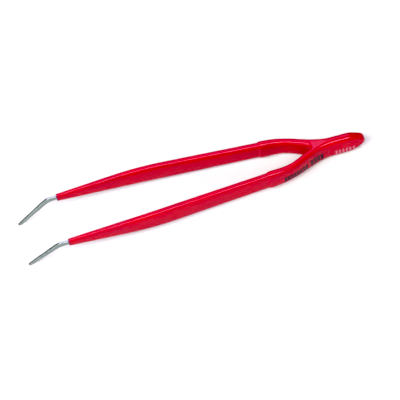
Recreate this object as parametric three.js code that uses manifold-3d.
// Coated precision tweezers with angled points: two sprung steel blades welded together at the
// heel, a thin first coat over all but the points, and a thicker second coat over the heel.
// Millimetres. Stations are distances from the heel's end, measured along the tweezers' axis.
import * as THREE from 'three';
import { mergeVertices } from 'three/addons/utils/BufferGeometryUtils.js';
import Module from 'manifold-3d';

const wasm = await Module();
wasm.setup();

// Lengths along the axis
const LENGTH = 150;
const NOSE_LENGTH = 7;
const NOSE_NARROWING = 0.66;
const NOSE_THINNING = 0.4;
const NOSE_LIFT = 0.5;
const COVER_FRONT = 44.5;
const COAT_FRONT = 131.5;
const POINT_BEND = 135.5;

// Where each arm flexes, and the cut that lets the stiff solids turn there
const FLEX_STATION = 38;
const FLEX_GAP = 0.4;
const REAR_CUT = FLEX_STATION - FLEX_GAP / 2;
const FRONT_CUT = FLEX_STATION + FLEX_GAP / 2;
const CLOSING_ANGLE = THREE.MathUtils.degToRad(5.3);

// Steel
const STEEL_THICKNESS = 1.1;
const STEEL_CORNER = 0.25;
const NECK_WIDTH = 2.0;
const POINT_WIDTH = 2.4;
const POINT_END_WIDTH = 1.2;
const POINT_END_THICKNESS = 0.9;
const POINT_ROUNDING = 0.6;
const BLADE_ROOT = 1.8;
const GRIP_CLEARANCE = 0.06;
const GRIP_REACH = 12;

// Coats
const STEEL_DEPTH = 0.95;
const COVER_WALL = 0.4;
const FIT_GAP = 0.12;
const BULLNOSE = 0.46;
const COAT_LIP = 0.5;
const NOSE_LIP = 0.5;
const CORNER_STEPS = 3;

// Web that fills the fork between the arms
const FORK_START = 14;
const FORK_ENDS_ON_ARM = 27;
const FORK_APEX = 23.7;
const FORK_HALF_HEIGHT = 4.5;
const FORK_FILLET = 0.6;

// Each bend turns a slope (rise per mm of axis) around a station, spread over its reach either way.
const HEEL_HALF_SPREAD = 0.65;
const ARM_SPREAD = [
  { at: 19.3, turn: 0.46, reach: 5 },
  { at: 34.1, turn: -0.385, reach: 5 },
  { at: 96, turn: -0.0815, reach: 9.5 },
  { at: POINT_BEND, turn: -0.087, reach: 1.4 },
];
const ARM_DROP = [{ at: POINT_BEND, turn: -0.71, reach: 1.4 }];

const HEEL_WIDTH = 10.2;
const HEEL_WIDTH_BENDS = [
  { at: 17.5, turn: -0.14, reach: 4 },
  { at: 32.5, turn: 0.28, reach: 4 },
  { at: 41.2, turn: -0.14, reach: 2 },
];
const COAT_WIDTH_BENDS = [
  { at: 46, turn: 0.0215, reach: 2 },
  { at: 94.5, turn: -0.1765, reach: 12 },
];
const HEEL_THICKNESS = 3.45;
const HEEL_THICKNESS_BENDS = [
  { at: 35, turn: 0.08, reach: 3 },
  { at: 41.2, turn: -0.08, reach: 2 },
];
const COAT_THICKNESS_BENDS = [{ at: 102, turn: -0.02, reach: 8 }];

// Looks
const STEEL = { color: 0xb9c2c4, roughness: 0.28, metalness: 1.0 };
const FIRST_COAT = { color: 0xd8061f, roughness: 0.38, metalness: 0.0 };
const SECOND_COAT = { color: 0xcf0524, roughness: 0.42, metalness: 0.0 };

// Distance run past a bend, eased in a parabola over its reach.
function softRamp(past, reach) {
  if (past <= -reach) return 0;
  if (past >= reach) return past;
  return (past + reach) ** 2 / (4 * reach);
}

function followBends(start, bends, station) {
  return bends.reduce((value, bend) => value + bend.turn * softRamp(station - bend.at, bend.reach), start);
}

// How much of the heel's tapering nose is still to come: 1 at its end, 0 past its length.
function noseLeft(station) {
  return THREE.MathUtils.clamp(1 - station / NOSE_LENGTH, 0, 1) ** 1.6;
}

// What a rounded lip takes off one side over the last stretch before an end.
function lipLoss(station, end, rounding) {
  const into = THREE.MathUtils.clamp((station - end + rounding) / rounding, 0, 1);
  return rounding * (1 - Math.sqrt(1 - into ** 2));
}

// Centre of an arm: side is +1 for the right arm and -1 for the left one.
function armCentre(station, side) {
  const spread = followBends(HEEL_HALF_SPREAD, ARM_SPREAD, station);
  const height = NOSE_LIFT * noseLeft(station) + followBends(0, ARM_DROP, station);
  return new THREE.Vector3(-station, side * spread, height);
}

function coverSection(station) {
  const lip = 2 * lipLoss(-station, 0, NOSE_LIP);
  const narrowed = 1 - NOSE_NARROWING * noseLeft(station);
  const thinned = 1 - NOSE_THINNING * noseLeft(station);
  return {
    width: followBends(HEEL_WIDTH, HEEL_WIDTH_BENDS, station) * narrowed - lip,
    thickness: followBends(HEEL_THICKNESS, HEEL_THICKNESS_BENDS, station) * thinned - lip,
    corner: BULLNOSE,
  };
}

// The first coat lies one wall inside the second, and carries on alone along the arms.
function coatSection(station, grow = 0) {
  const cover = coverSection(station - COVER_WALL);
  const trim = 2 * (grow - lipLoss(station, COAT_FRONT, COAT_LIP));
  return {
    width: followBends(cover.width - 2 * COVER_WALL, COAT_WIDTH_BENDS, station) + trim,
    thickness: followBends(cover.thickness - 2 * COVER_WALL, COAT_THICKNESS_BENDS, station) + trim,
    corner: BULLNOSE,
  };
}

function steelWidth(station) {
  if (station > POINT_BEND) {
    const along = (station - POINT_BEND) / (LENGTH - POINT_BEND);
    return THREE.MathUtils.lerp(POINT_WIDTH, POINT_END_WIDTH, along);
  }
  const shoulder = THREE.MathUtils.smoothstep(station, COAT_FRONT + 1, POINT_BEND);
  const neck = THREE.MathUtils.lerp(NECK_WIDTH, POINT_WIDTH, shoulder);
  return Math.max(neck, coatSection(Math.min(station, COAT_FRONT - COAT_LIP)).width - 2 * STEEL_DEPTH);
}

function steelSection(station, grow = 0) {
  const along = THREE.MathUtils.smoothstep(station, POINT_BEND, LENGTH);
  const thickness = THREE.MathUtils.lerp(STEEL_THICKNESS, POINT_END_THICKNESS, along);
  const tip = lipLoss(station, LENGTH, POINT_ROUNDING);
  return {
    width: steelWidth(station) - 1.4 * tip + 2 * grow,
    thickness: thickness - 0.6 * tip + 2 * grow,
    corner: STEEL_CORNER,
  };
}

// Outline of a rounded rectangle as [across, up] pairs, corner by corner.
function sectionOutline({ width, thickness, corner }) {
  const radius = corner * thickness;
  const points = [];
  for (let quarter = 0; quarter < 4; quarter += 1) {
    const right = quarter === 0 || quarter === 3 ? 1 : -1;
    const top = quarter < 2 ? 1 : -1;
    for (let step = 0; step <= CORNER_STEPS; step += 1) {
      const angle = (quarter + step / CORNER_STEPS) * (Math.PI / 2);
      points.push([
        right * (thickness / 2 - radius) + radius * Math.cos(angle),
        top * (width / 2 - radius) + radius * Math.sin(angle),
      ]);
    }
  }
  return points;
}

// The outline at one station, turned square to the centre line there.
function ringAt(station, side, sectionAt) {
  const centre = armCentre(station, side);
  const along = armCentre(station + 0.01, side).sub(armCentre(station - 0.01, side)).normalize();
  const across = new THREE.Vector3().crossVectors(new THREE.Vector3(0, 0, 1), along).normalize();
  const upright = new THREE.Vector3().crossVectors(along, across);
  const points = sectionOutline(sectionAt(station)).map(
    ([sideways, up]) => centre.clone().addScaledVector(across, sideways).addScaledVector(upright, up),
  );
  return { centre, points };
}

// Solid that carries a changing section along one arm, made by reshaping a closed cylinder.
function sweepArm(side, stations, sectionAt) {
  const sides = 4 * (CORNER_STEPS + 1);
  const rows = stations.length - 1;
  const rings = stations.map((station) => ringAt(station, side, sectionAt));
  const geometry = new THREE.CylinderGeometry(1, 1, 1, sides, rows);
  const position = geometry.attributes.position;
  for (let index = 0; index < position.count; index += 1) {
    const [x, y, z] = [position.getX(index), position.getY(index), position.getZ(index)];
    const ring = rings[Math.round((0.5 - y) * rows)];
    const turn = Math.round((Math.atan2(x, z) / (2 * Math.PI)) * sides);
    const point = Math.hypot(x, z) < 0.5 ? ring.centre : ring.points[(sides - turn) % sides];
    position.setXYZ(index, point.x, point.y, point.z);
  }
  return toSolid(geometry);
}

function toSolid(geometry) {
  geometry.deleteAttribute('normal');
  geometry.deleteAttribute('uv');
  const merged = mergeVertices(geometry, 1e-5);
  return new wasm.Manifold(new wasm.Mesh({
    numProp: 3,
    vertProperties: new Float32Array(merged.attributes.position.array),
    triVerts: new Uint32Array(merged.index.array),
  }));
}

function toMesh(name, solid, look) {
  const { vertProperties, triVerts } = solid.getMesh();
  const geometry = new THREE.BufferGeometry();
  geometry.setAttribute('position', new THREE.BufferAttribute(vertProperties, 3));
  geometry.setIndex(new THREE.BufferAttribute(triVerts, 1));
  geometry.computeVertexNormals();
  const mesh = new THREE.Mesh(geometry, new THREE.MeshStandardMaterial(look));
  mesh.name = name;
  return mesh;
}

function evenly(from, to, count) {
  return Array.from({ length: count + 1 }, (_, step) => THREE.MathUtils.lerp(from, to, step / count));
}

// Stations from a start inside the nose, close together where it curves most.
function heelStations(start, end) {
  const nose = evenly(0, 5 / 6, 5).map((share) => THREE.MathUtils.lerp(start, NOSE_LENGTH, share ** 1.8));
  return [...nose, NOSE_LENGTH, ...evenly(FORK_START, end, 10)];
}

// Filler between the arms, with a concave front that runs into both of them.
function forkWeb(apex, halfHeight) {
  const arm = armCentre(FORK_ENDS_ON_ARM, 1);
  const pull = (-4 * apex - arm.x) / 3;
  const shape = new THREE.Shape();
  shape.moveTo(-FORK_START, -HEEL_HALF_SPREAD);
  shape.lineTo(-FORK_START, HEEL_HALF_SPREAD);
  shape.lineTo(arm.x, arm.y);
  shape.bezierCurveTo(pull, FORK_FILLET, pull, -FORK_FILLET, arm.x, -arm.y);
  const geometry = new THREE.ExtrudeGeometry(shape, {
    depth: 2 * halfHeight,
    bevelEnabled: false,
    curveSegments: 8,
  });
  geometry.translate(0, 0, -halfHeight);
  return toSolid(geometry);
}

// Both arms' roots and the web between them, from the nose to a station on the arms.
function fork({ sectionAt, start, end, apex, halfHeight }) {
  const arms = [1, -1].map((side) => sweepArm(side, heelStations(start, end), sectionAt));
  return arms[0].add(arms[1]).add(forkWeb(apex, halfHeight));
}

function coatFork(grow, end) {
  return fork({
    sectionAt: (station) => coatSection(station, grow),
    start: COVER_WALL - grow,
    end,
    apex: FORK_APEX - COVER_WALL + grow,
    halfHeight: FORK_HALF_HEIGHT - COVER_WALL + grow,
  });
}

// Rear part of the second coat: the heel, the fork and the roots of both arms.
function heelCover() {
  const outside = fork({
    sectionAt: coverSection,
    start: 0,
    end: REAR_CUT,
    apex: FORK_APEX,
    halfHeight: FORK_HALF_HEIGHT,
  });
  return outside.subtract(coatFork(FIT_GAP, REAR_CUT + 1));
}

// Rear part of the first coat, with room inside for the roots of both blades.
function heelUndercoat() {
  return [1, -1].reduce(
    (coat, side) => coat.subtract(steel(side, heelStations(BLADE_ROOT - FIT_GAP, REAR_CUT + 1), FIT_GAP)),
    coatFork(0, REAR_CUT),
  );
}

function steel(side, stations, grow = 0) {
  return sweepArm(side, stations, (station) => steelSection(station, grow));
}

// Front part of the second coat on one arm, which ends in the visible step.
function cuff(side) {
  const outside = sweepArm(side, evenly(FRONT_CUT, COVER_FRONT, 4), coverSection);
  const inside = sweepArm(side, evenly(FRONT_CUT - 1, COVER_FRONT + 1, 5), (at) => coatSection(at, FIT_GAP));
  return outside.subtract(inside);
}

// First coat on one arm, open at the front where the bare steel leaves it.
function sleeve(side) {
  const lip = COAT_FRONT - COAT_LIP;
  const along = [...evenly(FRONT_CUT, lip, 16), ...evenly(lip, COAT_FRONT, 3).slice(1)];
  const outside = sweepArm(side, along, coatSection);
  return outside.subtract(steel(side, evenly(FRONT_CUT - 1, COAT_FRONT + 1, 12), FIT_GAP));
}

// Blade of one arm with its angled point, ground flat inside where the two points meet.
function blade(side) {
  const bendStart = POINT_BEND - 1.5;
  const roundingStart = LENGTH - POINT_ROUNDING;
  const stations = [
    ...evenly(FRONT_CUT, COAT_FRONT, 12),
    ...evenly(COAT_FRONT, bendStart, 2).slice(1),
    ...evenly(bendStart, POINT_BEND + 1.5, 6).slice(1),
    ...evenly(POINT_BEND + 1.5, roundingStart, 4).slice(1),
    ...evenly(roundingStart, LENGTH, 4).slice(1),
  ];
  return steel(side, stations).subtract(gripCutter(side));
}

// Block whose face is the tweezers' middle plane when the arm is closed, swung back to the open arm.
function gripCutter(side) {
  const pivot = armCentre(FLEX_STATION, side);
  const depth = 6;
  const geometry = new THREE.BoxGeometry(GRIP_REACH, depth, 40);
  geometry.translate(-LENGTH + GRIP_REACH / 4, side * (GRIP_CLEARANCE - depth / 2), 0);
  geometry.translate(-pivot.x, -pivot.y, 0);
  geometry.rotateZ(-side * CLOSING_ANGLE);
  geometry.translate(pivot.x, pivot.y, 0);
  return toSolid(geometry);
}

function armGroup(name, side) {
  const arm = new THREE.Group();
  arm.add(toMesh(`blade_${name}`, blade(side), STEEL));
  arm.add(toMesh(`sleeve_${name}`, sleeve(side), FIRST_COAT));
  arm.add(toMesh(`heel_cuff_${name}`, cuff(side), SECOND_COAT));
  return arm;
}

function heelGroup() {
  const heel = new THREE.Group();
  heel.add(toMesh('heel_cover', heelCover(), SECOND_COAT));
  heel.add(toMesh('heel_undercoat', heelUndercoat(), FIRST_COAT));
  heel.add(toMesh('blade_root_left', steel(-1, heelStations(BLADE_ROOT, REAR_CUT)), STEEL));
  heel.add(toMesh('blade_root_right', steel(1, heelStations(BLADE_ROOT, REAR_CUT)), STEEL));
  return heel;
}

// Lowest height that a group's vertices reach in the world.
function lowest(group) {
  return new THREE.Box3().setFromObject(group, true).min.z;
}

// Pitches the tweezers until the heel's lower edge and both points stand on one level.
function restOnHeelAndPoints(tweezers, heel, arm) {
  let [low, high] = [0, THREE.MathUtils.degToRad(6)];
  for (let step = 0; step < 30; step += 1) {
    tweezers.rotation.y = (low + high) / 2;
    tweezers.updateMatrixWorld(true);
    if (lowest(heel) > lowest(arm)) low = tweezers.rotation.y;
    else high = tweezers.rotation.y;
  }
}

// Puts the origin under the middle of the bounding box.
function centreOnBase(tweezers) {
  const box = new THREE.Box3().setFromObject(tweezers, true);
  const middle = box.getCenter(new THREE.Vector3());
  tweezers.position.set(-middle.x, -middle.y, -box.min.z);
}

const heel = heelGroup();
const leftArm = armGroup('left', -1);
const rightArm = armGroup('right', 1);
const tweezers = new THREE.Group();
tweezers.add(heel, leftArm, rightArm);
restOnHeelAndPoints(tweezers, heel, leftArm);
centreOnBase(tweezers);
const assembly = new THREE.Group();
assembly.add(tweezers);

export default assembly;
